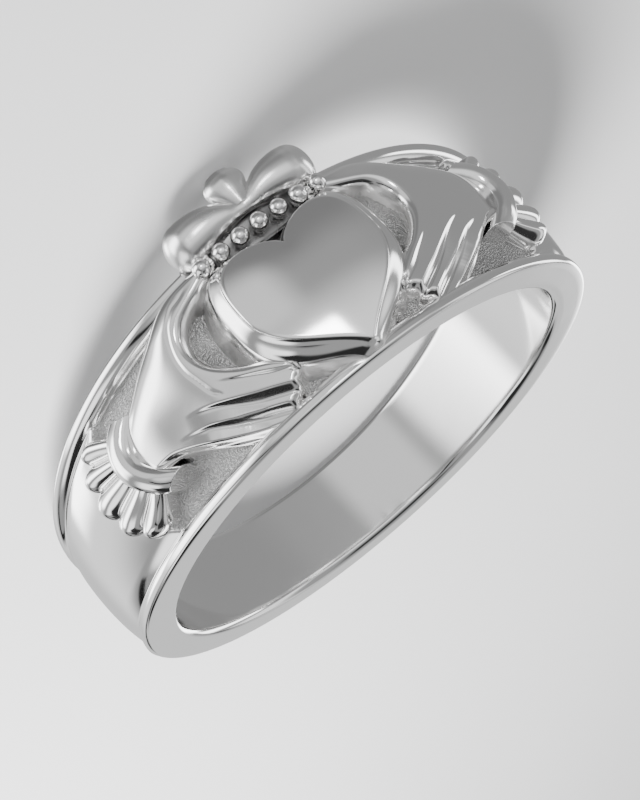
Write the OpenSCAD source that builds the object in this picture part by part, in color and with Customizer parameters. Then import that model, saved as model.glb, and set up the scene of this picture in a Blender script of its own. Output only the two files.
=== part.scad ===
// Claddagh ring: two hands with ruffled cuffs hold a crowned heart on a tapered band.
// The ring lies on its side as it does on a table, crown side down and the heart's point up.
// The finger hole's centre is the origin, the heart faces -Y, and +Z is up.

/* [Finger hole] */
// Diameter of the finger hole
bore_d = 17.3; // [15.5:0.1:21]
// How far the hole's edges are eased back
bore_ease = 0.22; // [0.1:0.01:0.3]

/* [Band] */
// Width of the band under the heart
head_w = 6.5; // [6.2:0.1:7]
// Width of the band at the back
back_w = 3.64; // [3.2:0.1:5]
// Thickness of the metal under the sunken floor
floor_t = 0.95; // [0.8:0.05:1.3]
// Height of the edge rails above the sunken floor
rail_h = 0.5; // [0.4:0.05:0.7]
// Width of each edge rail, with its inner slope
rail_w = 0.62; // [0.5:0.02:0.75]
// Rounding of the rails' outer corners
rail_round = 0.18; // [0.1:0.01:0.25]
// Height of the rounded shank above the sunken floor
shank_h = 0.64; // [0.5:0.02:0.8]
// How much the shank's round drops from its middle to its edges
shank_drop = 0.14; // [0.06:0.01:0.2]
// Distance along the band from the heart's middle to where the shank begins
shank_start = 10.4; // [9.8:0.1:11.5]

/* [Heart] */
// Width of the heart's top
heart_w = 5.44; // [5:0.1:6]
// Length of the heart from its point to the top of its lobes
heart_l = 5.25; // [4.8:0.05:5.6]
// Distance of the heart's point from the band's middle
heart_point = 3.2; // [3:0.05:3.3]
// Height of the heart's edge above the sunken floor
heart_h = 1.55; // [1.2:0.05:1.9]
// Height of the heart's domed top above its edge
heart_dome = 0.28; // [0.15:0.01:0.4]
// How far the heart's foot spreads past its edge
heart_flare = 0.42; // [0.2:0.02:0.5]

/* [Crown] */
// Width of the crown over its two side lobes
crown_w = 6.5; // [6:0.1:7]
// Thickness of a side lobe at its fat end
crown_lobe = 1.5; // [1.36:0.02:1.6]
// Distance of the side lobes' middle line from the band's middle
crown_place = 3.62; // [3.5:0.02:3.8]
// How far the centre lobe reaches past the side lobes' middle line
crown_reach = 1.4; // [1.1:0.05:1.6]
// Height of the side lobes' middle line above the sunken floor
crown_h = 1.05; // [0.9:0.05:1.3]
// Number of beads under the crown
bead_count = 7; // [5:2:7]
// Diameter of a bead
bead_d = 0.7; // [0.64:0.02:0.78]
// Distance from one bead to the next
bead_pitch = 0.81; // [0.74:0.01:0.86]
// Distance of the bead row from the band's middle
bead_place = 2.62; // [2.5:0.02:2.7]
// Height of the beads' middles above the sunken floor
bead_h = 1.15; // [1.05:0.05:1.25]

/* [Hands] */
// Length of a hand along the band, from the heart's middle to the wrist
hand_l = 7.7; // [7.3:0.1:8]
// Half the height of a hand across the band
hand_w = 3.1; // [2.9:0.05:3.2]
// Height of the palm above the sunken floor
hand_h = 1.2; // [1:0.05:1.4]
// Width of a finger
finger_w = 0.6; // [0.5:0.02:0.7]

/* [Cuffs and ruffles] */
// Thickness of the round cuff at the wrist
cuff_d = 0.72; // [0.6:0.02:0.85]
// Height of the cuff's top above the sunken floor
cuff_h = 1.4; // [1.2:0.05:1.6]
// Number of pleats in each ruffle
pleat_count = 5; // [4:1:6]
// Angle between a ruffle's two outermost pleats
pleat_spread = 66; // [60:1:72]
// Length of the pleats from under the cuff
pleat_l = 2.6; // [2.2:0.1:3]
// Width of a pleat at its open end
pleat_w = 0.95; // [0.8:0.05:1.1]
// Height of the pleats above the sunken floor
pleat_h = 1.1; // [0.9:0.05:1.2]

/* [Hidden] */
bore_r = bore_d / 2;
floor_r = bore_r + floor_t;
rail_r = floor_r + rail_h;
shank_r = floor_r + shank_h;
mid_half_w = (head_w + back_w) / 4;
taper = atan((head_w - back_w) / 4 / bore_r);
// Depth that raised forms reach into the metal under the floor
sink = floor_t * 0.45;
// Extra length of cuts that run past a face
past = 1;
round_fn = 96;
bead_fn = 32;

// The point at s along the band from the heart's middle, h across it and r from the hole's axis
function place(s, h, r) =
    let (a = s / floor_r * 180 / PI)
    [r * sin(a), -r * cos(a), h];

// One solid through sections that all have the same number of points
module loft(sections) {
    n = len(sections[0]);
    m = len(sections);
    points = [for (section = sections) for (p = section) p];
    sides = [
        for (i = [0:m - 2])
            for (j = [0:n - 1])
                let (k = (j + 1) % n)
                each [
                    [i * n + j, (i + 1) * n + j, (i + 1) * n + k],
                    [i * n + j, (i + 1) * n + k, i * n + k]
                ]
    ];
    ends = [
        [for (j = [0:n - 1]) j],
        [for (j = [n - 1:-1:0]) (m - 1) * n + j]
    ];
    polyhedron(points, concat(sides, ends), convexity = 6);
}

// A rounded ridge that rises from the floor along rows of [along, across, rise, half width].
// Its steep lowest sides run straight down into the metal.
ridge_steps = 6;
ridge_turn = 75;
module ridge(rows) {
    last = len(rows) - 1;
    sections = [
        for (i = [0:last])
            let (
                before = rows[max(i - 1, 0)],
                after = rows[min(i + 1, last)],
                d = [after[0] - before[0], after[1] - before[1]],
                side = [-d[1], d[0]] / norm(d),
                row = rows[i]
            )
            concat(
                [
                    for (k = [0:ridge_steps])
                        let (
                            a = ridge_turn * (1 - 2 * k / ridge_steps),
                            o = row[3] * sin(a)
                        )
                        place(row[0] + side[0] * o, row[1] + side[1] * o, floor_r + row[2] * cos(a))
                ],
                [
                    for (o = [-row[3], row[3]])
                        place(row[0] + side[0] * o, row[1] + side[1] * o, floor_r - sink)
                ]
            )
    ];
    loft(sections);
}

// The side faces lean towards each other at the back. What this holds has one side face at height 0.
module side_tilt() {
    translate([0, 0, mid_half_w])
        rotate([-taper, 0, 0])
            children();
}

// A raised edge rail: rounded outer corner, crest, and inner slope down to the floor
module rail() {
    crest_drop = rail_h * 0.15;
    crest_w = rail_w * 0.55;
    foot_w = rail_w * 1.2;
    side_tilt()
        rotate_extrude($fn = round_fn)
            polygon([
                [bore_r - past, 0],
                for (a = [90:-30:0])
                    [rail_r - rail_round + rail_round * cos(a), -rail_round + rail_round * sin(a)],
                [rail_r - crest_drop, -crest_w],
                [floor_r, -rail_w],
                [floor_r - sink, -foot_w],
                [bore_r - past, -foot_w]
            ]);
}

module inner_side() {
    into_rail = rail_w * 0.3;
    side_tilt()
        translate([0, 0, -rail_w - head_w * 2])
            cylinder(r = floor_r + past * 2, h = head_w * 2 + into_rail, $fn = round_fn);
}

// The plain band that the raised work stands on
module floor_band() {
    intersection() {
        cylinder(r = floor_r, h = head_w * 2, center = true, $fn = round_fn);
        inner_side();
        mirror([0, 0, 1]) inner_side();
    }
}

// The rounded shank between the rails, over the back of the ring
module shank() {
    start = shank_start / floor_r * 180 / PI;
    steps = 6;
    intersection() {
        rotate([0, 0, -90 + start])
            rotate_extrude(angle = 360 - 2 * start, $fn = round_fn)
                polygon([
                    [floor_r - sink, -mid_half_w],
                    for (k = [-steps:steps])
                        [shank_r - shank_drop * pow(k / steps, 2), mid_half_w * k / steps],
                    [floor_r - sink, mid_half_w]
                ]);
        shank_side();
        mirror([0, 0, 1]) shank_side();
    }
}

// The groove beside a rail slopes up to the shank's round
module shank_side() {
    groove_w = rail_w * 0.8;
    groove_r = floor_r + rail_h * 0.3;
    slope_w = groove_w + shank_h * 0.7;
    side_tilt()
        rotate_extrude($fn = round_fn)
            polygon([
                [bore_r - past, -groove_w],
                [groove_r, -groove_w],
                [shank_r + shank_drop, -slope_w],
                [shank_r + past, -slope_w - past],
                [shank_r + past, -head_w * 2],
                [bore_r - past, -head_w * 2]
            ]);
}

module finger_hole() {
    cylinder(r = bore_r, h = head_w * 2, center = true, $fn = round_fn);
    eased_edge();
    mirror([0, 0, 1]) eased_edge();
}

// What the easing takes away: a slope on the wall's side, a flatter one on the face's side
module eased_edge() {
    // Columns: shares of the easing out from the wall and below the face
    corner = [[-0.15, 1.3], [0.3, 0.4], [1.2, -0.4]];
    deepest = corner[0][1] * bore_ease;
    widest = corner[2][0] * bore_ease;
    side_tilt()
        rotate_extrude($fn = round_fn)
            polygon(concat(
                [[bore_r - past, -deepest]],
                [for (c = corner) [bore_r + c[0] * bore_ease, -c[1] * bore_ease]],
                [[bore_r + widest, past], [bore_r - past, past]]
            ));
}

// The heart's outline from its cleft round one side to its point,
// as [across the heart, along the band's width]
heart_steps = 7;
function bezier(p, t) =
    pow(1 - t, 3) * p[0] + 3 * pow(1 - t, 2) * t * p[1] + 3 * (1 - t) * t * t * p[2] + pow(t, 3) * p[3];
function heart_side() =
    let (
        w = heart_w / 2,
        top = heart_point - heart_l,
        cleft = top + heart_l * 0.145,
        curves = [
            [[0, cleft], [w * 0.04, cleft - w * 0.1], [w * 0.28, top], [w * 0.56, top]],
            [[w * 0.56, top], [w * 0.97, top], [w, -w * 0.38], [w, 0]],
            [[w, 0], [w, w * 0.57], [w * 0.43, heart_point - w * 0.43], [0, heart_point]]
        ]
    )
    [for (curve = curves) for (k = [0:heart_steps - 1]) bezier(curve, k / heart_steps)];
function heart_outline() =
    let (half = heart_side(), n = len(half))
    concat(half, [[0, heart_point]], [for (k = [n - 1:-1:1]) [-half[k][0], half[k][1]]]);

module heart() {
    outline = heart_outline();
    top = floor_r + heart_h;
    point_flare = 0.15;
    foot_flare = 1.5;
    // Columns: share of the flare, share of the wall's height
    wall = [[0.62, 0.12], [0.3, 0.36], [0.08, 0.74], [0, 1]];
    // Columns: share of the outline, share of the dome's height
    cap = [[0.975, 0.16], [0.88, 0.42], [0.7, 0.7], [0.45, 0.9], [0.2, 0.98], [0.01, 1]];
    function widened(p, share) = [
        p[0] * (1 + share * heart_flare * 2 / heart_w),
        p[1] * (1 + share * heart_flare * point_flare / heart_point)
    ];
    function ground(x, r) = sqrt(r * r - x * x);
    sections = concat(
        [
            [
                for (p = outline)
                    let (q = widened(p, foot_flare))
                    [q[0], -ground(q[0], floor_r - sink), q[1]]
            ]
        ],
        [
            for (row = wall)
                [
                    for (p = outline)
                        let (q = widened(p, row[0]), low = ground(q[0], floor_r))
                        [q[0], -(low + (top - low) * row[1]), q[1]]
                ]
        ],
        [
            for (row = cap)
                [for (p = outline) [p[0] * row[0], -(top + heart_dome * row[1]), p[1] * row[0]]]
        ]
    );
    loft(sections);
}

// The crown's beads stand in a row on a bar between the heart and the lobes
bead_r = bead_d / 2;
module beads() {
    row_r = floor_r + bead_h;
    for (k = [0:bead_count - 1])
        let (x = (k - (bead_count - 1) / 2) * bead_pitch)
            translate(place(x * floor_r / row_r, -bead_place, row_r))
                sphere(r = bead_r, $fn = bead_fn);
}

// The bar turns with the band. It reaches from under the beads to the lobes' thin middle
module crown_bar() {
    last_bead = (bead_count - 1) / 2 * bead_pitch;
    // Share of a bead's radius that stands on the bar's near edge
    seat = 0.75;
    // Share of the crown's width, from its middle, where a lobe is fat enough to cover the bar's end
    lobe_end_share = 0.36;
    lobe_middle_share = 0.965;
    reach = max(last_bead + bead_r, crown_w * lobe_end_share);
    turn = reach / floor_r * 180 / PI;
    near_edge = bead_place - bead_r * seat;
    far_edge = crown_place * lobe_middle_share;
    rise = crown_h * 0.85;
    slope = rise * 0.25;
    rotate([0, 0, -90 - turn])
        rotate_extrude(angle = 2 * turn, $fn = round_fn)
            polygon([
                [floor_r - sink, -near_edge],
                [floor_r + rise - slope, -near_edge],
                [floor_r + rise, -near_edge - slope],
                [floor_r + rise, -far_edge + slope],
                [floor_r + rise - slope, -far_edge],
                [floor_r - sink, -far_edge]
            ]);
}

// The two side lobes are one bow-shaped roll, thin in the middle and fat at both ends
lobe_sides = 14;
module side_lobes() {
    // Columns: share of the crown's half width, share of the lobe's thickness, share of the place
    half = [
        [0, 0.3, 0.965], [0.1, 0.38, 0.975], [0.2, 0.52, 1], [0.35, 0.71, 1.03], [0.52, 0.86, 1.04],
        [0.66, 0.97, 1.045], [0.78, 1, 1.045], [0.88, 0.87, 1.04], [0.95, 0.62, 1.035], [0.99, 0.3, 1.03]
    ];
    n = len(half);
    rows = concat([for (k = [n - 1:-1:1]) [-half[k][0], half[k][1], half[k][2]]], half);
    sections = [
        for (row = rows)
            let (
                x = row[0] * crown_w / 2,
                r = crown_lobe / 2 * row[1],
                z = sqrt(pow(floor_r + crown_h, 2) - x * x)
            )
            [
                for (k = [0:lobe_sides - 1])
                    let (a = -360 * k / lobe_sides)
                    [x, -(z + r * sin(a)), -(crown_place * row[2] + r * cos(a))]
            ]
    ];
    loft(sections);
}

centre_lobe_r = floor_r + crown_h * 0.95;
module centre_lobe() {
    // Columns: share of the reach, share of half the lobe's width, share of its height
    rows = [
        [-0.25, 0.4, 0.5], [0.1, 0.6, 0.7], [0.4, 0.86, 0.9], [0.65, 1, 1], [0.83, 0.92, 0.9],
        [0.94, 0.64, 0.62], [0.99, 0.3, 0.3]
    ];
    half_w = crown_w * 0.125;
    half_h = crown_lobe * 0.35;
    sections = [
        for (row = rows)
            [
                for (k = [0:lobe_sides - 1])
                    let (a = 360 * k / lobe_sides)
                    [
                        half_w * row[1] * cos(a),
                        -(centre_lobe_r + half_h * row[2] * sin(a)),
                        -(crown_place + crown_reach * row[0])
                    ]
            ]
    ];
    loft(sections);
}

// A ridge of a hand from a table in shares of the hand's length, half height, rise and finger width
module hand_ridge(table) {
    ridge([for (row = table) [row[0] * hand_l, row[1] * hand_w, row[2] * hand_h, row[3] * finger_w]]);
}

module palm() {
    hand_ridge([
        [1.04, 0, 0.8, 1.35], [0.95, -0.02, 0.84, 1.63], [0.86, -0.03, 0.92, 2.17],
        [0.77, -0.02, 1, 2.75], [0.68, 0.02, 1, 2.92], [0.6, 0, 0.84, 2.67], [0.53, 0, 0.5, 2.17]
    ]);
}

module thumb_base() {
    hand_ridge([
        [0.73, -0.29, 0.84, 1.33], [0.64, -0.47, 0.92, 1.08], [0.55, -0.61, 0.92, 0.83],
        [0.455, -0.71, 0.88, 0.67], [0.365, -0.79, 0.8, 0.53], [0.286, -0.855, 0.67, 0.33]
    ]);
}

// The thumb's inner roll curls round the hollow beside the heart and runs on as the first finger
module thumb_and_finger() {
    hand_ridge([
        [0.31, -0.775, 0.75, 0.33], [0.4, -0.71, 0.84, 0.42], [0.487, -0.6, 0.92, 0.45],
        [0.545, -0.42, 0.93, 0.45], [0.565, -0.226, 0.96, 0.47], [0.552, -0.032, 0.96, 0.47],
        [0.513, 0.13, 0.96, 0.47], [0.455, 0.258, 0.94, 0.45], [0.377, 0.387, 0.92, 0.43],
        [0.3, 0.548, 0.84, 0.4], [0.262, 0.628, 0.5, 0.2]
    ]);
}

module finger_two() {
    hand_ridge([
        [0.61, 0.16, 0.96, 0.42], [0.532, 0.306, 1, 0.48], [0.442, 0.452, 0.96, 0.48],
        [0.35, 0.606, 0.92, 0.47], [0.3, 0.694, 0.84, 0.42], [0.268, 0.742, 0.5, 0.2]
    ]);
}

module finger_three() {
    hand_ridge([
        [0.714, 0.274, 0.92, 0.42], [0.623, 0.452, 0.98, 0.5], [0.52, 0.597, 0.96, 0.5],
        [0.416, 0.742, 0.92, 0.48], [0.344, 0.839, 0.84, 0.43], [0.312, 0.877, 0.5, 0.2]
    ]);
}

module finger_four() {
    hand_ridge([
        [0.805, 0.371, 0.84, 0.42], [0.714, 0.532, 0.92, 0.5], [0.61, 0.677, 0.92, 0.5],
        [0.494, 0.839, 0.88, 0.47], [0.403, 0.942, 0.8, 0.42], [0.364, 0.974, 0.5, 0.2]
    ]);
}

// The side of the hand shows as a lower strip under the fourth finger
module hand_side() {
    hand_ridge([
        [0.974, 0.194, 0.58, 0.33], [0.883, 0.306, 0.63, 0.47], [0.78, 0.5, 0.63, 0.55],
        [0.675, 0.677, 0.63, 0.58], [0.571, 0.839, 0.63, 0.55], [0.468, 0.952, 0.58, 0.42],
        [0.416, 0.984, 0.42, 0.2]
    ]);
}

module hand() {
    palm();
    thumb_base();
    thumb_and_finger();
    finger_two();
    finger_three();
    finger_four();
    hand_side();
}

// The round cuff bows outwards round the wrist. Columns: shares of the hand's length and half height,
// share of the cuff's height, share of the cuff's half thickness
module cuff() {
    table = [
        [0.9, -0.5, 0.5, 0.8], [0.955, -0.42, 0.8, 1], [1.025, -0.3, 0.94, 1], [1.06, -0.12, 1, 1],
        [1.058, 0.08, 1, 1], [1.02, 0.26, 0.94, 1], [0.955, 0.42, 0.8, 1], [0.885, 0.51, 0.5, 0.8]
    ];
    ridge([for (row = table) [row[0] * hand_l, row[1] * hand_w, row[2] * cuff_h, row[3] * cuff_d / 2]]);
}

// The ruffle's pleats fan out from under the cuff
module ruffle() {
    fan_centre = hand_l * 0.83;
    fan_start = hand_l * 0.19;
    fan_step = pleat_spread / (pleat_count - 1);
    end_shortening = 0.09;
    // Columns: share of the pleat's length, share of its height, share of half its width
    rows = [
        [0, 0.9, 0.5], [0.3, 1, 0.62], [0.62, 1, 0.85], [0.84, 0.9, 1], [0.95, 0.66, 0.88],
        [1, 0.3, 0.5]
    ];
    for (k = [0:pleat_count - 1])
        let (
            a = fan_step * (k - (pleat_count - 1) / 2),
            shorter = 1 - end_shortening * pow(a * 2 / pleat_spread, 2)
        )
            ridge([
                for (row = rows)
                    let (d = (fan_start + row[0] * pleat_l) * shorter)
                    [fan_centre + d * cos(a), d * sin(a), row[1] * pleat_h, row[2] * pleat_w / 2]
            ]);
}

module arm() {
    hand();
    cuff();
    ruffle();
}

// The ring leans until its crown and the band's back edge both touch the table
crown_low = crown_place + crown_reach;
back_low = mid_half_w - rail_r * tan(taper);
rest_tilt = atan((crown_low - back_low) / (rail_r + centre_lobe_r));

module claddagh_ring() {
    color([0.86, 0.86, 0.87])
        rotate([-rest_tilt, 0, 0])
            difference() {
                union() {
                    floor_band();
                    rail();
                    mirror([0, 0, 1]) rail();
                    shank();
                    heart();
                    beads();
                    crown_bar();
                    side_lobes();
                    centre_lobe();
                    arm();
                    mirror([1, 0, 0]) arm();
                }
                finger_hole();
            }
}

claddagh_ring();
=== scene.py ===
import math

import bpy
import numpy as np
from mathutils import Matrix, Vector


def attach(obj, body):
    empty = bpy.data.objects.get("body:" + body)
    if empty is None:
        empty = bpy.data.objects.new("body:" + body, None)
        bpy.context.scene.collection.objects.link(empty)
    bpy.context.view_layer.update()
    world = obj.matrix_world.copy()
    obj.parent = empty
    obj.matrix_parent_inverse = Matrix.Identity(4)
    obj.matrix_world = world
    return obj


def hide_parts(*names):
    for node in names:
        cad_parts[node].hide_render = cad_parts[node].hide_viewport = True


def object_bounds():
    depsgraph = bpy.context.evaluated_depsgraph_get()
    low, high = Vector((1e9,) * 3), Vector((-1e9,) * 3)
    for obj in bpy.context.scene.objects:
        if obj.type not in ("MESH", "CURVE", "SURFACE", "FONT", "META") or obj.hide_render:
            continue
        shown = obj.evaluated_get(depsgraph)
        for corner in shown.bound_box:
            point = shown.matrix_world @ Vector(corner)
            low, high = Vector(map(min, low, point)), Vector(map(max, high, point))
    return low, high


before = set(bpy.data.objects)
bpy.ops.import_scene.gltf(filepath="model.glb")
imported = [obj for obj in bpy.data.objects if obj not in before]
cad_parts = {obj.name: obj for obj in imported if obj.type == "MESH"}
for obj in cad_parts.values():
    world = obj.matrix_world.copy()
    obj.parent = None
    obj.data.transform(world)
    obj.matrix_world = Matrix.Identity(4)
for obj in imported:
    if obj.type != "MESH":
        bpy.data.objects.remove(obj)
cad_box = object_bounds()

# A claddagh ring: two hands with ruffled cuffs hold a crowned heart on a tapered band.
# Sizes are in millimetres, in the ring's own frame: the finger hole's axis is Z, the heart faces -Y and
# the heart's point is on the +Z side. On the band, s runs along it from the heart's middle, h across it
# and t above its sunken floor.
MM = 0.001

BORE_R = 8.65         # finger hole
FLOOR_R = 9.6         # sunken floor between the rails
RAIL_R = 10.1         # top of the rails
HEAD_W = 6.5          # width of the band under the heart
BACK_W = 3.64         # width of the band at the back
MID_HALF_W = (HEAD_W + BACK_W) / 4
TAPER = (HEAD_W - BACK_W) / 4 / BORE_R

# The ring rests on the tip of its crown and on the back edge of its band
CROWN_PLACE = 3.62    # distance of the solid's side lobes from the band's middle
CROWN_REACH = 1.4     # how far its centre lobe reaches past them
CROWN_TIP_H = 0.9975  # height of the centre lobe's middle line above the floor
BACK_LOW = MID_HALF_W - RAIL_R * TAPER
REST_TILT = math.atan((CROWN_PLACE + CROWN_REACH - BACK_LOW) / (RAIL_R + (FLOOR_R + CROWN_TIP_H)))

FOOT = -0.22          # the grid round a raised form lies at this height, just under the floor
BURIED = -0.42        # height of the underside of a raised form


# Helpers

def place(s, h, t):
    """Points along the band, across it and above its floor, in the ring's frame."""
    a = s / FLOOR_R
    r = FLOOR_R + t
    return np.stack(np.broadcast_arrays(r * np.sin(a), -r * np.cos(a), h), -1)


def to_part(points):
    """Ring frame in millimetres to the part's frame in metres."""
    c, s = math.cos(REST_TILT), math.sin(REST_TILT)
    x, y, z = np.moveaxis(points, -1, 0)
    return np.stack([x, y * c + z * s, z * c - y * s], -1) * MM


def smooth_step(x, a, b):
    """0 at a, 1 at b and level at both. It falls if b is the lower one."""
    t = np.clip((x - a) / (b - a), 0, 1)
    return t * t * (3 - 2 * t)


def smooth_max(a, b, k):
    """The higher of two surfaces, blended where they are less than k apart."""
    d = np.clip(0.5 + 0.5 * (a - b) / k, 0, 1)
    return b + (a - b) * d + k * d * (1 - d)


def pillow(x):
    """Rises from 0 with a steep foot to 1 with a level top, as x goes from 0 to 1."""
    return np.sqrt(1 - (1 - np.clip(x, 0, 1)) ** 2)


def swell(x):
    """Like pillow, but it also runs level into the top without a change of bend."""
    return np.sqrt(1 - (1 - np.clip(x, 0, 1)) ** 3)


def bulge(s, h, middle, reach):
    """1 at the middle, falling softly to 0 over the reach."""
    return np.exp(-((s - middle[0]) / reach[0]) ** 2 - ((h - middle[1]) / reach[1]) ** 2)


def curve(points, steps):
    """A smooth line through points, with the given number of steps between each two."""
    p = np.asarray(points, float)
    q = np.vstack([2 * p[0] - p[1], p, 2 * p[-1] - p[-2]])
    t = np.arange(steps)[:, None] / steps
    out = []
    for a, b, c, d in zip(q, q[1:], q[2:], q[3:]):
        bend = 2 * a - 5 * b + 4 * c - d
        twist = 3 * b - 3 * c + d - a
        out.append(0.5 * (2 * b + (c - a) * t + bend * t ** 2 + twist * t ** 3))
    out.append(p[-1:])
    return np.vstack(out)


def to_line(s, h, line):
    """Distance to a line in (s, h), the side it is on, and the share of the line's length there.

    The side is 1 to the left of the line's run and -1 to its right.
    """
    runs = np.diff(line, axis=0)
    squares = np.maximum((runs ** 2).sum(1), 1e-12)
    length = np.concatenate([[0], np.cumsum(np.sqrt(squares))])
    best = np.full(s.shape, 1e9)
    side = np.zeros(s.shape)
    share = np.zeros(s.shape)
    for (s0, h0), (ds, dh), square, before in zip(line, runs, squares, length):
        u = np.clip(((s - s0) * ds + (h - h0) * dh) / square, 0, 1)
        x, y = s - s0 - u * ds, h - h0 - u * dh
        dist = np.hypot(x, y)
        near = dist < best - 1e-9
        best = np.where(near, dist, best)
        side = np.where(near, np.sign(ds * y - dh * x), side)
        share = np.where(near, (before + u * math.sqrt(square)) / length[-1], share)
    return best, side, share


def inside(s, h, loop):
    """Which points lie inside a closed loop."""
    hit = np.zeros(s.shape, bool)
    for (s0, h0), (s1, h1) in zip(loop, np.roll(loop, -1, 0)):
        if h0 != h1:
            at = s0 + (h - h0) * (s1 - s0) / (h1 - h0)
            hit ^= ((h0 > h) != (h1 > h)) & (s < at)
    return hit


def softened(z, times):
    """Evens out the steps that a grid leaves on slanting edges."""
    for _ in range(times):
        for axis in (0, 1):
            z = (2 * z + np.roll(z, 1, axis) + np.roll(z, -1, axis)) / 4
    return z


def volume(points, faces):
    """Signed volume: below 0 if the faces look inwards."""
    total = 0.0
    for n in set(map(len, faces)):
        q = points[np.array([f for f in faces if len(f) == n])]
        for k in range(1, n - 1):
            total += (q[:, 0] * np.cross(q[:, k], q[:, k + 1])).sum() / 6
    return total


def piece(name, points, faces, materials, indices=None):
    """A closed mesh from ring-frame points in millimetres, riding on the ring's body."""
    if volume(points, faces) < 0:
        faces = [f[::-1] for f in faces]
    mesh = bpy.data.meshes.new(name)
    mesh.from_pydata(to_part(points).tolist(), [], faces)
    for material in materials:
        mesh.materials.append(material)
    if indices is not None:
        mesh.polygons.foreach_set("material_index", np.asarray(indices, np.int32))
    mesh.polygons.foreach_set("use_smooth", np.ones(len(mesh.polygons), bool))
    mesh.validate()
    mesh.update()
    obj = bpy.data.objects.new(name, mesh)
    bpy.context.scene.collection.objects.link(obj)
    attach(obj, "root")
    return obj


def mirrored(points):
    """The same form on the other side of the heart; piece() turns its faces the right way out."""
    return points * [-1, 1, 1]


def grid_faces(rows, cols, wrap_rows=False, wrap_cols=False):
    """Quads of a grid whose point (i, j) has index i * cols + j."""
    i = np.arange(rows if wrap_rows else rows - 1)
    j = np.arange(cols if wrap_cols else cols - 1)
    i, j = np.meshgrid(i, j, indexing="ij")
    i2, j2 = (i + 1) % rows, (j + 1) % cols
    return np.stack([i * cols + j, i2 * cols + j, i2 * cols + j2, i * cols + j2], -1).reshape(-1, 4).tolist()


def loft(sections):
    """Sections of equally many points, each a closed loop, joined in order; the ends are capped."""
    s = np.asarray(sections)
    m, n = s.shape[:2]
    faces = grid_faces(m, n, wrap_cols=True)
    faces.append(list(range(n)))
    faces.append(list(range(m * n - 1, (m - 1) * n - 1, -1)))
    return s.reshape(-1, 3), faces


def relief(s, h, t):
    """A closed patch of raised work: a grid of tops over a buried underside."""
    rows, cols = s.shape
    edges = [place(s[:, j], h[:, j], BURIED) for j in (0, -1)]
    points = np.vstack([place(s, h, t).reshape(-1, 3), *edges])
    faces = grid_faces(rows, cols)
    a, b = rows * cols, rows * cols + rows
    for i in range(rows - 1):
        faces.append([i * cols, a + i, a + i + 1, (i + 1) * cols])
        faces.append([i * cols + cols - 1, (i + 1) * cols + cols - 1, b + i + 1, b + i])
        faces.append([a + i, b + i, b + i + 1, a + i + 1])
    faces.append([*range(cols), b, a])
    faces.append([*range(rows * cols - 1, (rows - 1) * cols - 1, -1), a + rows - 1, b + rows - 1])
    return points, faces


# Materials. The scales of noise are per metre: at 1000, a mark is about a millimetre wide.

PATCHES = 420         # patches that are a little rougher or smoother
TINTS = 160           # patches that are a little darker
WAVES = 900           # soft waves left by the polishing
MARKS = 16000         # fine marks of wear
GRAINS = 15000        # grains of the stippled ground
DARKENED = 0.975      # share of the colour that is left in the darkest patches


def metal(name, colour, rough, rough_spread, marks, waves, stipple=0.0):
    """White metal with faint wear. The last three are the strengths of its bumps."""
    material = bpy.data.materials.new(name)
    material.use_nodes = True
    nodes, link = material.node_tree.nodes, material.node_tree.links
    shader = nodes["Principled BSDF"]
    shader.inputs["Metallic"].default_value = 1.0
    where = nodes.new("ShaderNodeTexCoord").outputs["Object"]

    def noise(scale, detail):
        texture = nodes.new("ShaderNodeTexNoise")
        texture.inputs["Scale"].default_value = scale
        texture.inputs["Detail"].default_value = detail
        link.new(where, texture.inputs["Vector"])
        return texture.outputs["Fac"]

    def bump(height, strength, distance, before=None):
        node = nodes.new("ShaderNodeBump")
        node.inputs["Strength"].default_value = strength
        node.inputs["Distance"].default_value = distance
        link.new(height, node.inputs["Height"])
        if before is not None:
            link.new(before, node.inputs["Normal"])
        return node.outputs["Normal"]

    spread = nodes.new("ShaderNodeMapRange")
    spread.inputs["From Min"].default_value = 0.3
    spread.inputs["From Max"].default_value = 0.7
    spread.inputs["To Min"].default_value = rough - rough_spread
    spread.inputs["To Max"].default_value = rough + rough_spread
    link.new(noise(PATCHES, 4), spread.inputs["Value"])
    link.new(spread.outputs["Result"], shader.inputs["Roughness"])

    ramp = nodes.new("ShaderNodeValToRGB")
    dark, light = ramp.color_ramp.elements
    dark.position, light.position = 0.3, 0.7
    dark.color = (*[c * DARKENED for c in colour], 1)
    light.color = (*colour, 1)
    link.new(noise(TINTS, 3), ramp.inputs["Fac"])
    link.new(ramp.outputs["Color"], shader.inputs["Base Color"])

    normal = bump(noise(WAVES, 2), waves, 0.00002)
    normal = bump(noise(MARKS, 3), marks, 0.000004, normal)
    if stipple:
        grains = nodes.new("ShaderNodeTexVoronoi")
        grains.inputs["Scale"].default_value = GRAINS
        grains.inputs["Randomness"].default_value = 1
        link.new(where, grains.inputs["Vector"])
        normal = bump(grains.outputs["Distance"], stipple, 0.00004, normal)
    link.new(normal, shader.inputs["Normal"])
    return material


# The band and the hands, the crown's lobes, the bar under its beads, the heart's foot, the floor band
POLISHED = metal("polished_metal", (0.88, 0.876, 0.872), 0.105, 0.02, 0.05, 0.06)
SOFT = metal("soft_metal", (0.92, 0.916, 0.912), 0.26, 0.03, 0.05, 0.06)
# painted shade: the bar's dark colour stands in for the shade between the beads
SHADED = metal("shaded_metal", (0.15, 0.149, 0.148), 0.28, 0.05, 0.2, 0.1)
SATIN = metal("satin_metal", (0.86, 0.856, 0.852), 0.36, 0.03, 0.06, 0.08)
# painted shade: the dark colour stands in for the shade in the sunken, stippled floor; its grains are real
# bumps
GROUND = metal("ground_metal", (0.40, 0.398, 0.396), 0.42, 0.05, 0.5, 0.2, stipple=0.75)


# Band

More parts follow.
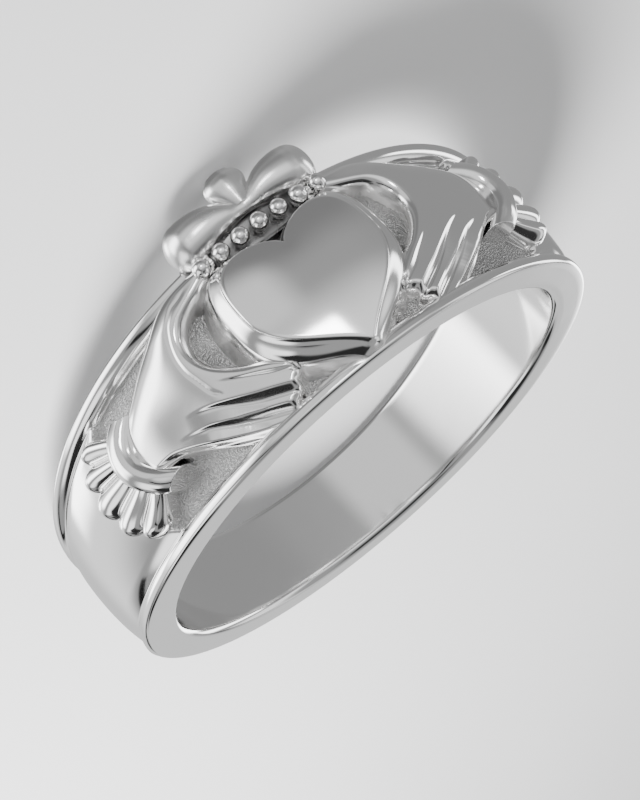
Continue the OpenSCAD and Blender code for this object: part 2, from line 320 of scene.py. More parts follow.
FAN = 6.4             # middle of the ruffle's fan, along the band
BORE_EASE = 0.24      # rounding of the finger hole's edges
CORNER = 0.13         # rounding of the rails' outer corners at the front
BACK_CORNER = 0.1     # how much more it is at the back
RAIL_W = 0.64         # width of a rail with its inner slope
RAIL_FLAT = 0.2       # width of the level part of its top
SHANK_REACH = 2.95    # the shank begins this far from the fan's middle, in a hollow curve round it
SHANK_HOLLOW = 3.6    # half the width of that curve, across the band
SHANK_RUN = 0.6       # the shank reaches its height in this distance
SHANK_SIDE = 0.42     # its side rises from this far in from the band's side
SIDE_RUN = 0.62       # and does so in this distance at the front
SIDE_SOFTER = 0.5     # how much longer that is at the back
SHANK_H = 0.64        # height of its middle above the floor
SHANK_ROUND = 0.05    # how fast its round drops away from its middle
VALLEY_H = 0.12       # height of the valleys between the shank and the rails
VALLEY_FADE = 0.34    # how much shallower they are at the back
MELT = 0.22           # how widely the shank and the rails blend there
FRONT_END = 10.8      # distances along the band where the front's form ends and the back's begins
BACK_START = 18.5
WALL_ROWS = (0, 0.35, 0.7, 0.92)    # points of the hole's wall, as shares of half its width
SIDE_ROWS = (9.1, 9.4, 9.7)         # radii of the points on the band's flat sides
TURNS = 540           # sections of the band
RAIL_COLS = 22        # points across a rail
FLOOR_COLS = 44       # points from a rail to the band's middle


def outside(s, q, h):
    """Height of the rails and the shank above the floor, and which points are bare floor.

    s is the distance from the heart's middle, q the distance in from the band's side.
    """
    x = np.clip((q - RAIL_FLAT) / (RAIL_W - RAIL_FLAT), 0, 1)
    rail = (RAIL_R - FLOOR_R) * np.sqrt(np.clip(1 - x ** 2.2, 0, 1))
    start = FAN + SHANK_REACH * np.sqrt(np.clip(1 - (h / SHANK_HOLLOW) ** 2, 0, 1))
    back = smooth_step(s, FRONT_END, BACK_START)
    valley = VALLEY_H + VALLEY_FADE * back
    shank = SHANK_H - SHANK_ROUND * h ** 2
    shank = valley + (shank - valley) * pillow((q - SHANK_SIDE) / (SIDE_RUN + SIDE_SOFTER * back))
    shank = np.where(s > start, shank * swell((s - start) / SHANK_RUN), 0)
    t = smooth_max(rail, shank, 0.03 + MELT * back * (s > start))
    # in front, the level part of the rail stays as it is
    t = np.where((q < 0.3) & (s < 10), rail, t)
    return t, (q > RAIL_W * 0.97) & (s < start + 0.12)


def band():
    a = np.arange(TURNS) * 2 * math.pi / TURNS
    a = np.where(a > math.pi, a - 2 * math.pi, a)
    s = np.abs(a) * FLOOR_R
    quarter = np.radians(np.linspace(0, 90, 9))

    def half_w(r):
        return MID_HALF_W + TAPER * r * np.cos(a)

    # Each column is a radius and a place across the band for all angles. The columns run from the
    # middle of the finger hole's wall over the near side to the middle of the outside.
    cols = [(BORE_R, share * (half_w(BORE_R) - BORE_EASE)) for share in WALL_ROWS]
    eased = BORE_R + BORE_EASE
    for e in quarter:
        cols.append((eased - BORE_EASE * math.cos(e), half_w(eased) - BORE_EASE * (1 - math.sin(e))))
    for r in SIDE_ROWS:
        cols.append((r, half_w(r)))
    edge = half_w(RAIL_R)
    corner = CORNER + BACK_CORNER * smooth_step(s, 12, 22)
    for e in quarter:
        cols.append((RAIL_R - corner * (1 - math.sin(e)), edge - corner * (1 - math.cos(e))))
    bare = [np.zeros(TURNS, bool)] * len(cols)
    depths = [corner + (RAIL_W - corner) * k / RAIL_COLS for k in range(1, RAIL_COLS + 1)]
    depths += [RAIL_W + (edge - RAIL_W) * k / FLOOR_COLS for k in range(1, FLOOR_COLS + 1)]
    for q in depths:
        t, floor_here = outside(s, q, edge - q)
        cols.append((FLOOR_R + t, edge - q))
        bare.append(floor_here)

    # the far side mirrors the near side
    r = np.stack([np.broadcast_to(col[0], TURNS) for col in cols], 1)
    h = np.stack([col[1] for col in cols], 1)
    bare = np.stack(bare, 1)
    r = np.concatenate([r, r[:, -2:0:-1]], 1)
    h = np.concatenate([h, -h[:, -2:0:-1]], 1)
    bare = np.concatenate([bare, bare[:, -2:0:-1]], 1)
    points = np.stack([r * np.sin(a)[:, None], -r * np.cos(a)[:, None], h], -1).reshape(-1, 3)
    faces = grid_faces(TURNS, r.shape[1], wrap_rows=True, wrap_cols=True)
    # the bare floor takes the dark ground metal, painted shade of the sunken floor
    ground = bare & np.roll(bare, -1, 1)
    return piece("band", points, faces, [POLISHED, GROUND], ground.reshape(-1))


# Heart

HEART_W = 5.44        # width of its top
HEART_L = 5.25        # length from its point to the top of its lobes
HEART_POINT = 3.2     # distance of its point from the band's middle
HEART_H = 1.55        # mean height of its edge above the floor
HEART_SINK = 0.5      # depth of its underside under the floor
HEART_EDGE = 0.035    # rounding of its edge
HEART_MIDDLE = (0, -0.1)    # the rings of its top shrink to this place, in (x, h)
CAP_ROWS = 26         # number of those rings
POINT_FLARE = 0.28    # how far the wall's foot spreads at the point
SIDE_FLARE = 0.42     # how much more it spreads at the sides
CLEFT_FLARE = 0.6     # share by which it spreads less in the cleft

# The top is part of a ball, with an even swelling for the rest
BALL_SHARE = 0.8
BALL_R = 10.5
BALL_MIDDLE = 0.3     # its highest place, across the band
BALL_RISE = 0.26      # its height there over the mean height of the edge
SWELL_RISE = 0.30     # rise of the swelling

# Columns: share of the wall's spread, share of its rise from the floor to the edge
HEART_WALL = [
    (1.06, -0.28), (1.03, -0.04), (1.0, 0.06), (0.98, 0.12), (0.95, 0.19), (0.9, 0.27), (0.85, 0.36),
    (0.79, 0.46), (0.72, 0.56), (0.63, 0.66), (0.52, 0.74), (0.38, 0.8), (0.22, 0.85), (0.1, 0.89),
    (0.04, 0.93), (0.0, 0.97)]
SATIN_ROWS = 7        # the wall is satin up to this row
HEART_UNDER = (0.04, 0.2, 0.4, 0.6, 0.8)    # rings of the underside, as shares of the foot's outline


def heart_outline(steps):
    """The heart's edge in (x, h), from the cleft over one side to the point and back."""
    w, top = HEART_W / 2, HEART_POINT - HEART_L
    cleft = top + HEART_L * 0.145
    curves = np.array([
        [(0, cleft), (w * 0.04, cleft - w * 0.1), (w * 0.28, top), (w * 0.56, top)],
        [(w * 0.56, top), (w * 0.97, top), (w, -w * 0.38), (w, 0)],
        [(w, 0), (w, w * 0.57), (w * 0.43, HEART_POINT - w * 0.43), (0, HEART_POINT)],
    ])
    t = (np.arange(steps) / steps)[:, None]
    half = np.vstack([
        (1 - t) ** 3 * a + 3 * (1 - t) ** 2 * t * b + 3 * (1 - t) * t * t * c + t ** 3 * d
        for a, b, c, d in curves])
    other = half[1:][::-1] * [-1, 1]
    return np.vstack([half, [[0, HEART_POINT]], other])


def ball_dome(x, h):
    """Height of the ball's share of the top over the mean height of the edge."""
    return BALL_SHARE * (BALL_RISE - (x ** 2 + (h - BALL_MIDDLE) ** 2) / (2 * BALL_R))


def swelling(flat, m, n):
    """Heights from 0 on the outline to 1 at the highest place, as an even pressure would lift a skin.

    flat holds m rings of n points, from the outline inwards, and the middle point.
    """
    j = np.arange(n)
    j2 = (j + 1) % n
    triangles = [np.stack([(m - 1) * n + j, np.full(n, m * n), (m - 1) * n + j2], 1)]
    for k in range(0, (m - 1) * n, n):
        triangles.append(np.stack([k + j, k + n + j, k + n + j2], 1))
        triangles.append(np.stack([k + j, k + n + j2, k + j2], 1))
    corners = np.vstack(triangles).T
    a, b, c = flat[corners]
    u, v = b - a, c - a
    area = 0.5 * np.abs(u[:, 0] * v[:, 1] - v[:, 0] * u[:, 1]) + 1e-12
    count = len(flat)
    matrix = np.zeros((count, count))
    load = np.zeros(count)
    for p, q, o in (corners, np.roll(corners, -1, 0), np.roll(corners, -2, 0)):
        # each edge counts by the angle that faces it
        weight = ((flat[p] - flat[o]) * (flat[q] - flat[o])).sum(1) / (4 * area)
        np.add.at(matrix, (p, p), weight)
        np.add.at(matrix, (q, q), weight)
        np.add.at(matrix, (p, q), -weight)
        np.add.at(matrix, (q, p), -weight)
        np.add.at(load, p, area / 3)
    lift = np.zeros(count)
    lift[n:] = np.linalg.solve(matrix[n:, n:], load[n:])
    return lift / lift.max()


def heart():
    line = heart_outline(26)
    n = len(line)
    x, h = line.T
    run = np.roll(line, -1, 0) - np.roll(line, 1, 0)
    out = np.stack([run[:, 1], -run[:, 0]], 1)
    out /= np.linalg.norm(out, axis=1)[:, None]
    if (out * line).sum() < 0:
        out = -out
    top = FLOOR_R + HEART_H
    edge = top + ball_dome(x, h)
    # the wall spreads more at the heart's sides than at its point, and less in its cleft
    flare = POINT_FLARE + SIDE_FLARE * smooth_step(h, 3.4, 1.4)
    flare *= 1 - CLEFT_FLARE * smooth_step(-h, 0.2, 1.6) * smooth_step(-np.abs(x), -2.4, -1.2)
    rings = []
    # the underside bends with the band, so that it stays inside the metal
    for share in HEART_UNDER:
        u = (x + out[:, 0] * flare) * share
        rings.append(np.stack([u, -np.sqrt((FLOOR_R - HEART_SINK) ** 2 - u ** 2), h * share], 1))
    for spread, rise in HEART_WALL:
        u, v = (line + out * flare[:, None] * spread).T
        low = np.sqrt(FLOOR_R ** 2 - u ** 2)
        rings.append(np.stack([u, -(low + (edge - low) * rise), np.minimum(v, HEART_POINT + 0.04)], 1))
    for e in np.radians([25, 50, 75]):
        u, v = (line - out * HEART_EDGE * (1 - math.cos(e))).T
        rings.append(np.stack([u, -(edge - HEART_EDGE * (1 - math.sin(e))), v], 1))
    rim = line - out * HEART_EDGE
    middle = np.array(HEART_MIDDLE)
    flat = np.vstack([middle + (rim - middle) * (1 - k / CAP_ROWS) for k in range(CAP_ROWS)] + [middle])
    lift = ball_dome(*flat.T) + (1 - BALL_SHARE) * SWELL_RISE * swelling(flat, CAP_ROWS, n)
    cap = np.stack([flat[:, 0], -(top + lift), flat[:, 1]], 1)
    rows = len(rings) + CAP_ROWS
    faces = grid_faces(rows, n, wrap_cols=True)
    last = (rows - 1) * n
    faces += [[last + j, rows * n, last + (j + 1) % n] for j in range(n)]
    faces.append(list(range(n)))
    satin = np.arange(len(faces)) < (len(HEART_UNDER) + SATIN_ROWS) * n
    piece("heart", np.vstack(rings + [cap]), faces, [POLISHED, SATIN], satin)


# Crown

LOBE_SIDES = 40       # points round a lobe
BEADS = 7
BEAD_R = 0.325
BEAD_PITCH = 0.81     # distance from one bead to the next
BEAD_PLACE = 2.62     # distance of the row from the band's middle
BEAD_H = 1.16         # height of the middle bead's centre above the floor
BEAD_BEND = 0.045     # how fast the row drops away from it
STEM_DROP = 0.28      # a smaller ball this far under each bead joins it to the bar
STEM_SHARE = 0.8      # its share of the bead's size
BAR_HALF_L = 2.8      # half the length of the bar under the beads
CENTRE_LOBE_H = 1.08  # height of the centre lobe's middle line above the floor

# Columns: along x, distance from the band's middle, height above the floor, radius
LOBE_ROWS = [
    (0, 3.47, 1.02, 0.28), (0.3, 3.51, 1.02, 0.34), (0.65, 3.60, 1.0, 0.48), (1.05, 3.68, 0.94, 0.63),
    (1.5, 3.71, 0.84, 0.76), (1.95, 3.71, 0.72, 0.84), (2.3, 3.70, 0.61, 0.86)]
# Columns: distance from the band's middle, half width, half thickness
CENTRE_ROWS = [
    (3.45, 0.34, 0.3), (3.75, 0.47, 0.36), (4.1, 0.66, 0.44), (4.42, 0.755, 0.46), (4.68, 0.69, 0.4),
    (4.86, 0.5, 0.3)]
# Columns: across the band, above the floor
BAR_PROFILE = [
    (-2.15, -0.35), (-2.15, 0.5), (-2.2, 0.62), (-2.3, 0.68), (-2.75, 0.72), (-3.0, 0.76), (-3.1, 0.78),
    (-3.3, 0.78), (-3.45, 0.7), (-3.5, 0.5), (-3.5, -0.35)]


def side_lobes():
    right = curve(LOBE_ROWS, 10)
    x, h, t, r = right[-1]
    # the fat end rounds over to a blunt tip
    tip = np.radians([8, 16, 24, 32, 40, 48, 56, 64, 71, 77, 82, 86, 89])
    tail = [(x + 0.76 * r * math.sin(e), h, t - 0.16 * math.sin(e), r * math.cos(e) ** 0.88) for e in tip]
    right = np.vstack([right, tail])
    left = right[1:][::-1] * [-1, 1, 1, 1]
    e = -np.arange(LOBE_SIDES) * 2 * math.pi / LOBE_SIDES
    sections = []
    for x, h, t, r in np.vstack([left, right]):
        out = FLOOR_R + t + 0.96 * r * np.sin(e)
        sections.append(np.stack([np.full(LOBE_SIDES, x), -out, -(h + r * np.cos(e))], 1))
    piece("crown_side_lobes", *loft(sections), [SOFT])


def centre_lobe():
    rows = curve(CENTRE_ROWS, 8)
    h, w, z = rows[-1]
    tip = np.radians([20, 40, 55, 68, 78, 86])
    tail = [(h + 0.12 * math.sin(e), w * math.cos(e) ** 0.9, z * math.cos(e)) for e in tip]
    e = np.arange(LOBE_SIDES) * 2 * math.pi / LOBE_SIDES
    # a soft ridge runs along the middle of its front
    off = np.mod(e + math.pi / 2, 2 * math.pi) - math.pi
    ridge = 1 + 0.10 * np.exp(-(off / 0.28) ** 2)
    sections = []
    for h, w, z in np.vstack([rows, tail]):
        out = FLOOR_R + CENTRE_LOBE_H + z * np.sin(e) * ridge
        sections.append(np.stack([w * np.cos(e), -out, np.full(LOBE_SIDES, -h)], 1))
    piece("crown_centre_lobe", *loft(sections), [SOFT])


def ball(centre, radius, rows=18, cols=28):
    """Points and faces of a ball with its poles towards the hole's axis and away from it."""
    e = np.arange(1, rows) * math.pi / rows
    f = np.arange(cols) * 2 * math.pi / cols
    e, f = np.meshgrid(e, f, indexing="ij")
    points = np.stack([np.sin(e) * np.cos(f), -np.cos(e), np.sin(e) * np.sin(f)], -1).reshape(-1, 3)
    points = np.vstack([points, [(0, -1, 0), (0, 1, 0)]]) * radius + centre
    faces = grid_faces(rows - 1, cols, wrap_cols=True)
    last, low, high = (rows - 2) * cols, (rows - 1) * cols, (rows - 1) * cols + 1
    faces += [[j, (j + 1) % cols, low] for j in range(cols)]
    faces += [[last + (j + 1) % cols, last + j, high] for j in range(cols)]
    return points, faces


def beads():
    """The row bends a little less than the band, and no two beads are quite alike."""
    all_points, all_faces, count = [], [], 0
    for k in range(BEADS):
        x = (k - (BEADS - 1) / 2) * BEAD_PITCH
        out = FLOOR_R + BEAD_H - BEAD_BEND * x * x
        radius = BEAD_R + 0.008 * math.sin(k * 2.3)
        across = -BEAD_PLACE + 0.012 * math.sin(k * 1.7)
        for low, share in ((0, 1), (STEM_DROP, STEM_SHARE)):
            points, faces = ball((x, low - out, across), radius * share)
            all_points.append(points)
            all_faces += [[v + count for v in f] for f in faces]
            count += len(points)
    piece("crown_beads", np.vstack(all_points), all_faces, [POLISHED])


def crown_bar():
    """A raised ledge: the beads sit on it and the lobes rise behind it. Its dark colour is painted shade
    between the beads.
    """
    h, t = curve(BAR_PROFILE, 4).T
    sections = []
    for s in np.linspace(-BAR_HALF_L, BAR_HALF_L, 60):
        # its ends round down
        share = 0.15 + 0.85 * pillow((BAR_HALF_L - abs(s)) / 0.25)
        sections.append(place(s, h, np.where(t > 0, t * share, t)))
    piece("crown_bar", *loft(sections), [SHADED])


# Hands. All lines are in (s, h): s grows from the finger tips to the wrist, the crown is on the -h side.

GRID = 0.0235         # distance between a hand's points along the band
GRID_COLS = 254       # points across it
GRID_EDGE = 0.09      # the grid stays this far from the band's sides
HAND_START = 1.55     # the grid's reach along the band
HAND_END = 8.35
TURN_OVER = 0.35      # share of a step's run that turns over from the finger's top
NOTCH_W = 0.10        # width of the notch at a step's foot
NOTCH_SHARE = 0.2     # its depth, as a share of the step's drop

# The edge on the crown's side, the thumb's hollow edge round the heart, the edge on the point's side,
# the finger tips, and the crease between the thumb and the palm
OUTER = [
    (1.7, -3.05), (2.2, -3.03), (2.7, -3.02), (3.3, -3.0), (4.0, -2.96), (4.62, -2.78), (5.3, -2.45),
    (5.94, -2.13), (6.63, -1.77), (7.1, -1.58), (7.7, -1.35), (8.3, -1.0)]
INNER = [
    (1.75, -2.38), (2.2, -2.28), (2.7, -2.08), (3.25, -1.88), (3.6, -1.7), (3.86, -1.42), (4.0, -1.05),
    (4.02, -0.7), (3.93, -0.33), (3.74, 0.02), (3.45, 0.37), (3.12, 0.68), (2.82, 0.88), (2.52, 1.09),
    (2.24, 1.33), (2.04, 1.6), (1.96, 1.88)]
LOWER = [
    (8.3, 0.95), (7.61, 1.0), (7.05, 1.1), (6.45, 1.38), (5.59, 2.03), (5.07, 2.43), (4.46, 2.77),
    (4.0, 2.96), (3.5, 3.12), (3.2, 3.2)]
TIPS = [
    (3.45, 3.3), (3.2, 3.2), (3.02, 3.13), (2.82, 2.99), (2.74, 2.82), (2.58, 2.74), (2.36, 2.6),
    (2.26, 2.42), (2.12, 2.33), (1.96, 2.17), (1.94, 2.0), (1.9, 1.93), (1.88, 1.84)]
CREASE = [
    (2.9, -2.62), (3.3, -2.47), (3.63, -2.41), (3.87, -2.25), (4.12, -2.01), (4.31, -1.7), (4.46, -1.36),
    (4.57, -0.96), (4.61, -0.48), (4.55, -0.02), (4.5, 0.3), (4.44, 0.64), (4.3, 0.92), (4.15, 1.12)]

# The fingers step down from the thumb to the side of the hand.
# Each step: the line of its upper edge, its drop, its run
STEPS = [
    ([(4.2, 0.42), (4.06, 0.54), (3.64, 0.87), (3.06, 1.27), (2.6, 1.61), (2.16, 1.87), (1.7, 2.14)],
     0.10, 0.12),
    ([(5.55, 0.52), (5.25, 0.66), (4.95, 0.8), (4.62, 0.98), (4.27, 1.2), (3.76, 1.52), (3.24, 1.83),
      (2.6, 2.21), (2.2, 2.44), (1.7, 2.72)], 0.31, 0.27),
    ([(6.2, 0.86), (5.9, 0.99), (5.6, 1.12), (5.2, 1.30), (4.9, 1.48), (4.48, 1.74), (4.16, 1.91),
      (3.64, 2.21), (2.98, 2.6), (2.5, 2.9), (2.1, 3.15)], 0.29, 0.27),
    ([(7.9, 0.5), (7.38, 0.73), (7.08, 0.81), (6.61, 0.97), (6.19, 1.23), (5.77, 1.52), (5.4, 1.78),
      (4.96, 2.08), (4.32, 2.48), (3.72, 2.82), (3.4, 3.0), (2.8, 3.35)], 0.27, 0.20),
]


def palm(s, h):
    """Height of the hand's own surface, before its fingers and its edges are cut."""
    top = 1.13 + 0.07 * bulge(s, h, (5.6, -0.8), (1.8, 1.6))
    top -= 0.26 * smooth_step(s, 6.3, 8.3)
    top -= 0.13 * smooth_step(s, 4.4, 6.8) * smooth_step(h, -0.8, 2.0)
    top -= 0.08 * smooth_step(-h, 2.0, 2.8)
    return top


def finger_step(s, h, line, drop, run):
    """How far a step lowers the hand. It starts as a point at the finger's root and grows."""
    dist, side, share = to_line(s, h, curve(line, 6))
    run = run * (0.3 + 0.7 * smooth_step(share, 0.1, 0.6))
    x = np.where(side < 0, dist, 0) / run
    fall = np.where(x < TURN_OVER, x ** 2 / (2 * TURN_OVER), x - TURN_OVER / 2) / (1 - TURN_OVER / 2)
    notch = NOTCH_SHARE * np.clip(1 - (x - 1) * run / NOTCH_W, 0, 1) ** 1.5
    return drop * smooth_step(share, 0.0, 0.6) * np.where(x < 1, (1 + NOTCH_SHARE) * fall, 1 + notch)


def crease(s, h):
    """Depth of the crease, which is steeper on the palm's side."""
    dist, side, share = to_line(s, h, curve(CREASE, 8))
    depth = 0.022 + 0.02 * smooth_step(share, 0.5, 0.9)
    depth = depth * smooth_step(share, 0.0, 0.15) * (1 - smooth_step(share, 0.9, 1))
    x = np.clip(dist / np.where(side > 0, 0.12, 0.06), 0, 1)
    return depth * (1 - x) ** 1.7


def hand(creased):
    s, h = np.meshgrid(np.arange(HAND_START, HAND_END, GRID), np.linspace(-1, 1, GRID_COLS), indexing="ij")
    h = h * (MID_HALF_W + TAPER * FLOOR_R * np.cos(s / FLOOR_R) - GRID_EDGE)
    z = palm(s, h)
    for step in STEPS:
        z = z - finger_step(s, h, *step)
    if creased:
        z = z - crease(s, h)
    outer, inner, lower, tips = curve(OUTER, 8), curve(INNER, 6), curve(LOWER, 8), curve(TIPS, 6)
    # the edges round down to the floor, the wider palm's edge more than the finger's
    outer_run = 0.4 + 1.1 * smooth_step(s, 3.2, 5.4)
    for line, run in ((outer, outer_run), (inner, 0.46), (lower, 0.3), (tips, 0.34)):
        z = z * swell(to_line(s, h, line)[0] / run)
    within = inside(s, h, np.vstack([outer, lower, tips, inner[::-1]]))
    return s, h, softened(np.where(within, np.maximum(z, FOOT), FOOT), 2)


def hands():
    """The right thumb's crease doesn't show in the photograph."""
    piece("hand_left", *relief(*hand(creased=True)), [POLISHED])
    points, faces = relief(*hand(creased=False))
    piece("hand_right", mirrored(points), faces, [POLISHED])


# Cuffs and ruffles

CUFF_HALF_W = 0.42    # half a cuff's thickness
CUFF_ARCH = 0.44      # rise of a cuff's round top over its straight sides
CUFF_SINK = 0.3       # depth of its foot under the floor
CUFF_END = 1.42       # both ends of a cuff are cut off this far from the band's middle
CUFF_SKEW = 0.3       # turns the cut from level with the rails towards square with the cuff
CUFF_BEVEL = 0.025    # width of the slope round its cut ends
CUFF_SECTIONS = 110

# Columns: along the band, across it, height of the straight sides above the floor
CUFF_ROWS = [
    (6.55, -2.05, 0.3), (6.92, -1.78, 0.38), (7.3, -1.47, 0.52), (7.76, -1.06, 0.78), (8.05, -0.56, 0.93),
    (8.14, 0.0, 0.98), (8.03, 0.52, 0.94), (7.72, 1.06, 0.76), (7.25, 1.47, 0.42), (6.85, 1.8, 0.26),
    (6.5, 2.1, 0.2)]

# Degrees round the fan's middle where one pleat ends and the next begins
PLEAT_EDGES = np.array([-41.0, -26.0, -11.5, 6.0, 23.0, 40.5])
PLEAT_STEEP = 0.93    # nearer to 1, the pleats are nearer to half circles
PLEAT_H = 0.78        # height of the pleats at the cuff above the floor
PLEAT_RISE = 0.24     # how much higher they are at their open ends
PLEAT_DEPTH = 0.105   # depth between two pleats, per millimetre from the fan's middle
TIP_RUN = 0.6         # a pleat's tip curls down over this length
FAN_START = 1.3       # distance of the pleats' hidden ends from the fan's middle
FAN_REACH = 4.2       # distance of the middle pleat's tip from it
FAN_HALF = 41         # degrees from the fan's middle line to its sides
FAN_MARGIN = 1.3      # degrees that the grid reaches past them


def crisp_ends(sections):
    """Adds a narrow slope to both ends of a loft, so that its flat ends keep a crisp edge."""
    out = []
    for end, inner in ((0, 1), (-1, -2)):
        middle = sections[end].mean(0)
        run = middle - sections[inner].mean(0)
        run *= CUFF_BEVEL / np.linalg.norm(run)
        spokes = sections[end] - middle
        share = CUFF_BEVEL / np.linalg.norm(spokes, axis=1).mean()
        narrow = middle + spokes * (1 - share)
        flat = middle + spokes * (1 - 2.2 * share)
        out.append([sections[end] + 0.2 * run, narrow + run, flat + run])
    return np.concatenate([out[0][::-1], sections, out[1]])


def cuff():
    along, across, height = curve(CUFF_ROWS, 12).T
    run = np.stack([np.gradient(along), np.gradient(across)])
    out = np.stack([-run[1], run[0]]) / np.linalg.norm(run, axis=0)
    # a section's outline: how far out from the middle line, the share of the sides' height, the lift
    e = np.radians(np.linspace(0, 180, 29))
    x = CUFF_HALF_W * np.concatenate([np.cos(e), [-1, -1, 1, 1]])
    share = np.concatenate([np.ones(len(e)), [0.5, 0, 0, 0.5]])
    lift = np.concatenate([CUFF_ARCH * np.sin(e), [0, -CUFF_SINK, -CUFF_SINK, 0]])
    lines = [(along + out[0] * x[j], across + out[1] * x[j], height * share[j] + lift[j])
             for j in range(len(x))]
    # sections at even places across the band, from one cut end to the other
    sections = []
    for middle in CUFF_END * np.sin(np.radians(np.linspace(-90, 90, CUFF_SECTIONS))):
        h = middle * (1 - CUFF_SKEW * x)
        s = np.array([np.interp(at, line[1], line[0]) for at, line in zip(h, lines)])
        t = np.array([np.interp(at, line[1], line[2]) for at, line in zip(h, lines)])
        sections.append(place(s, h, t))
    return loft(crisp_ends(sections))


def ruffle():
    """Pleats in a fan: each is a round fold that widens outwards and curls down at its tip."""
    o = np.linspace(FAN_START, FAN_REACH + 0.06, 130)
    grid_half = FAN_HALF + FAN_MARGIN
    turn = np.radians(np.linspace(-grid_half, grid_half, 320))
    o, turn = np.meshgrid(o, turn, indexing="ij")
    deg = np.degrees(turn)
    pleat = np.clip(np.searchsorted(PLEAT_EDGES, deg) - 1, 0, len(PLEAT_EDGES) - 2)
    low, high = PLEAT_EDGES[pleat], PLEAT_EDGES[pleat + 1]
    off = np.clip((deg - (low + high) / 2) / ((high - low) / 2), -1, 1)
    reach = FAN_REACH - 0.00045 * deg ** 2 - 0.22 * off ** 2
    rise = PLEAT_H + PLEAT_RISE * smooth_step(o, 2.2, 3.6)
    arch = (1 - np.sqrt(1 - (PLEAT_STEEP * off) ** 2)) / (1 - math.sqrt(1 - PLEAT_STEEP ** 2))
    z = (rise - PLEAT_DEPTH * o * arch) * swell((reach - o) / TIP_RUN) * swell((FAN_HALF - np.abs(deg)) / 5)
    within = (o < reach) & (np.abs(deg) < FAN_HALF)
    t = np.where(within, np.maximum(z, FOOT), FOOT)
    return relief(FAN + o * np.cos(turn), o * np.sin(turn), t)


def arms():
    for name, (points, faces) in (("cuff", cuff()), ("ruffle", ruffle())):
        piece(name + "_left", points, faces, [POLISHED])
        piece(name + "_right", mirrored(points), faces, [POLISHED])


ring_band = band()
heart()
side_lobes()
centre_lobe()
beads()
crown_bar()
hands()
arms()
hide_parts("claddagh_ring")


# Floor, camera and lights. Sizes and places are in metres, in the part's frame.

TABLE_HALF_W = 1.2


def floor():
    """A pale table under the lowest point of the solid."""
    low = cad_box[0][2]
    w = TABLE_HALF_W
    mesh = bpy.data.meshes.new("floor")
    mesh.from_pydata([(-w, -w, low), (w, -w, low), (w, w, low), (-w, w, low)], [], [(0, 1, 2, 3)])
    obj = bpy.data.objects.new("floor", mesh)
    bpy.context.scene.collection.objects.link(obj)
    material = bpy.data.materials.new("floor")
    material.use_nodes = True
    nodes, link = material.node_tree.nodes, material.node_tree.links
    shader = nodes["Principled BSDF"]
    shader.inputs["Roughness"].default_value = 0.75
    where = nodes.new("ShaderNodeTexCoord")
    noise = nodes.new("ShaderNodeTexNoise")
    noise.inputs["Scale"].default_value = 60
    ramp = nodes.new("ShaderNodeValToRGB")
    ramp.color_ramp.elements[0].color = (0.78, 0.78, 0.785, 1)
    ramp.color_ramp.elements[1].color = (0.81, 0.81, 0.81, 1)
    link.new(where.outputs["Object"], noise.inputs["Vector"])
    link.new(noise.outputs["Fac"], ramp.inputs["Fac"])
    link.new(ramp.outputs["Color"], shader.inputs["Base Color"])
    mesh.materials.append(material)
    obj.visible_glossy = False


def camera():
    """The photograph's view. Its place and turn were fitted to the ring's outline."""
    data = bpy.data.cameras.new("camera")
    data.sensor_fit = "VERTICAL"
    data.sensor_height = 36.0
    data.lens = 135.0
    data.clip_start = 0.005
    data.clip_end = 20
    place_mm = Vector((25.953, -89.289, 51.974))
    right = Vector((-0.766197, 0.14357, 0.626362))
    down = Vector((0.593748, 0.530964, 0.604599))
    ahead = Vector((-0.245774, 0.835143, -0.492068))
    turn = Matrix((right, -down, -ahead)).transposed()
    obj = bpy.data.objects.new("camera", data)
    obj.matrix_world = Matrix.Translation(place_mm * MM) @ turn.to_4x4()
    bpy.context.scene.collection.objects.link(obj)
    bpy.context.scene.camera = obj


def key_light():
    """Lights the table from the ring's +X side, so that its soft shadow falls in front of the heart."""
    data = bpy.data.lights.new("key", "AREA")
    data.shape = "DISK"
    data.size = 0.055
    data.energy = 0.26
    obj = bpy.data.objects.new("key", data)
    obj.location = (0.056, 0.026, 0.052)
    obj.rotation_euler = (-obj.location).to_track_quat("-Z", "Y").to_euler()
    obj.visible_glossy = False
    obj.visible_camera = False
    bpy.context.scene.collection.objects.link(obj)


# The studio round the ring, as its polished metal mirrors it
TENT = 0.40           # brightness between the panels

# A later panel covers an earlier one.
# Columns: azimuth, elevation, half width, half height, soft edge (degrees), brightness
PANELS = [
    (-100, -16, 52, 24, 14, 0.34),    # shaded side of the tent
    (108, -42, 52, 24, 10, 1.4),      # lit side, low down
    (72, -30, 26, 13, 8, 6.0),        # its brightest part
    (126, -43, 10, 9, 4, 7.0),        # reflector under the ring's +X side
    (180, -14, 24, 26, 10, 0.9),      # light card behind
    (-14, -40, 30, 14, 8, 0.24),      # shaded table in front
    (-6, 20, 34, 20, 12, 1.2),        # soft box in front
    (16, -17, 20, 13, 6, 0.95),       # light card under it
    (-1, 8, 8.5, 3.5, 1.5, 14.0),     # bright lamp at the soft box's foot
    (-108, 38, 46, 9, 6, 1.5),        # long soft box on the left
    (-112, 10, 30, 7, 4, 5.0),        # bright strip under it
    (-147, -7, 12, 8, 3, 7.0),        # lamp behind on the left
    (95, 22, 24, 18, 6, 2.2),         # soft box on the right
    (132, 38, 30, 14, 5, 0.03),       # dark opening behind on the right
    (158, 16, 14, 7, 3, 0.015),       # black gap beside it
    (49, 33, 4, 23, 2, 0.01),         # black card between front and right
    (152, -3, 28, 4, 1.5, 0.01),      # black gap at the tent's foot
    (-150, 26, 3, 10, 1.5, 0.01),     # black card behind on the left
    (0, 90, 20, 20, 6, 0.04),         # opening at the top
    (0, -88, 26, 26, 10, 0.22),       # shade under the ring
]


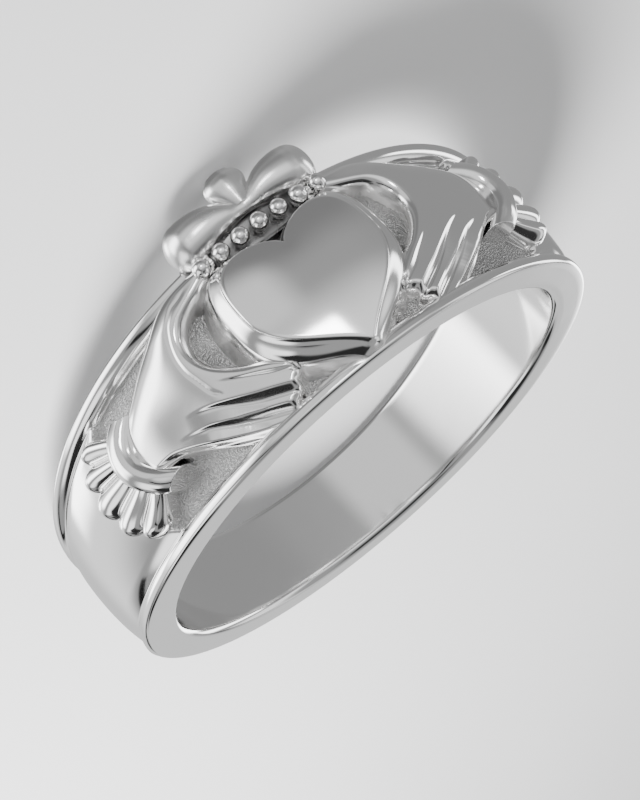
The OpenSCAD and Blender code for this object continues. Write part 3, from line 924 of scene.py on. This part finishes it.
def toward(azimuth, elevation):
    """Unit direction: azimuth 0 is in front of the heart and grows towards +X."""
    a, e = math.radians(azimuth), math.radians(elevation)
    return Vector((math.sin(a) * math.cos(e), -math.cos(a) * math.cos(e), math.sin(e)))


def studio():
    """A world whose brightness is the tent's, changed by one panel after another."""
    world = bpy.data.worlds.new("studio")
    bpy.context.scene.world = world
    world.use_nodes = True
    nodes, link = world.node_tree.nodes, world.node_tree.links
    where = nodes.new("ShaderNodeTexCoord").outputs["Generated"]

    def dot(direction):
        node = nodes.new("ShaderNodeVectorMath")
        node.operation = "DOT_PRODUCT"
        node.inputs[1].default_value = direction
        link.new(where, node.inputs[0])
        return node.outputs["Value"]

    def computed(operation, *values):
        node = nodes.new("ShaderNodeMath")
        node.operation = operation
        for socket, value in zip(node.inputs, values):
            if isinstance(value, (int, float)):
                socket.default_value = value
            else:
                link.new(value, socket)
        return node.outputs["Value"]

    def fade(value, edge, soft):
        """1 well inside an edge that is so many degrees from the panel's middle, 0 outside."""
        node = nodes.new("ShaderNodeMapRange")
        node.interpolation_type = "SMOOTHSTEP"
        node.inputs["From Min"].default_value = math.tan(math.radians(edge + soft))
        node.inputs["From Max"].default_value = math.tan(math.radians(max(edge - soft, 0)))
        link.new(value, node.inputs["Value"])
        return node.outputs["Result"]

    light = TENT
    for azimuth, elevation, half_w, half_h, soft, brightness in PANELS:
        depth = computed("MAXIMUM", dot(toward(azimuth, elevation)), 0.001)
        aside = computed("ABSOLUTE", dot(toward(azimuth + 90, 0)))
        above = computed("ABSOLUTE", dot(toward(azimuth, elevation + 90)))
        x = computed("DIVIDE", aside, depth)
        y = computed("DIVIDE", above, depth)
        mask = computed("MULTIPLY", fade(x, half_w, soft), fade(y, half_h, soft))
        change = computed("SUBTRACT", brightness, light)
        light = computed("MULTIPLY_ADD", change, mask, light)
    back = nodes["Background"]
    back.inputs["Color"].default_value = (0.99, 0.995, 1, 1)
    link.new(light, back.inputs["Strength"])


floor()
camera()
key_light()
studio()
